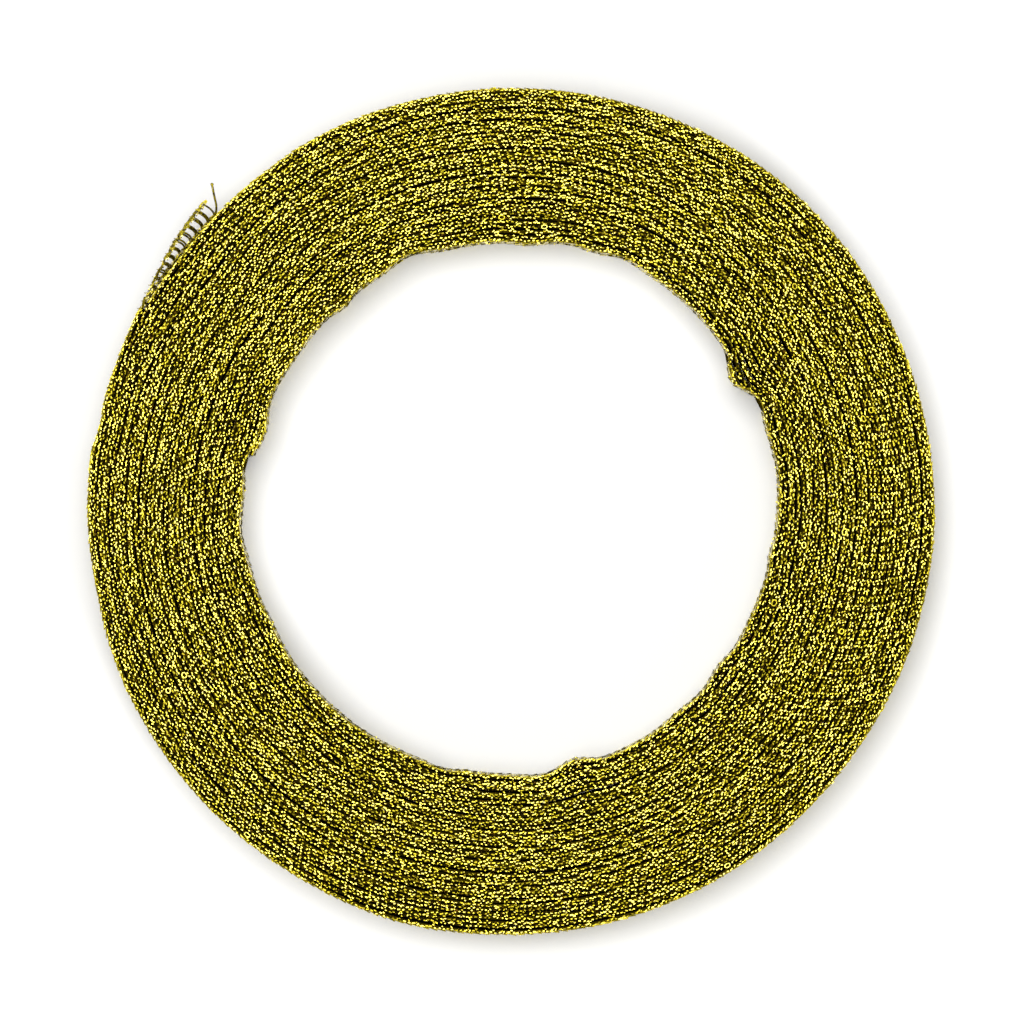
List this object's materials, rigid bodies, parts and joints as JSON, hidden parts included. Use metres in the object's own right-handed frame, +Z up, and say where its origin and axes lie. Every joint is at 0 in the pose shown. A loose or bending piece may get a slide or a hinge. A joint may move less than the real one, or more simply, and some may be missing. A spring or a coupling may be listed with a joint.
{
  "type": "roll of knitted metallic ribbon",
  "caption": "Narrow gold ribbon of open knitted yarn, wound into a flat ring without a core, its loose outer end leaning away with one stray yarn.",
  "frame": {"origin": "on the surface that the roll lies on, below the middle of the roll", "axes": "+Z up along the axis of the roll, +X to the right and +Y to the top of the picture, which looks straight down"},
  "size_m": [0.0941, 0.094, 0.01],
  "materials": {
    "gold_yarn": "bright metallic yarn, gold, in open knitted stitches"
  },
  "bodies": {
    "root": {"roll": "gold_yarn", "loose_end": "gold_yarn"}
  },
  "joints": []
}
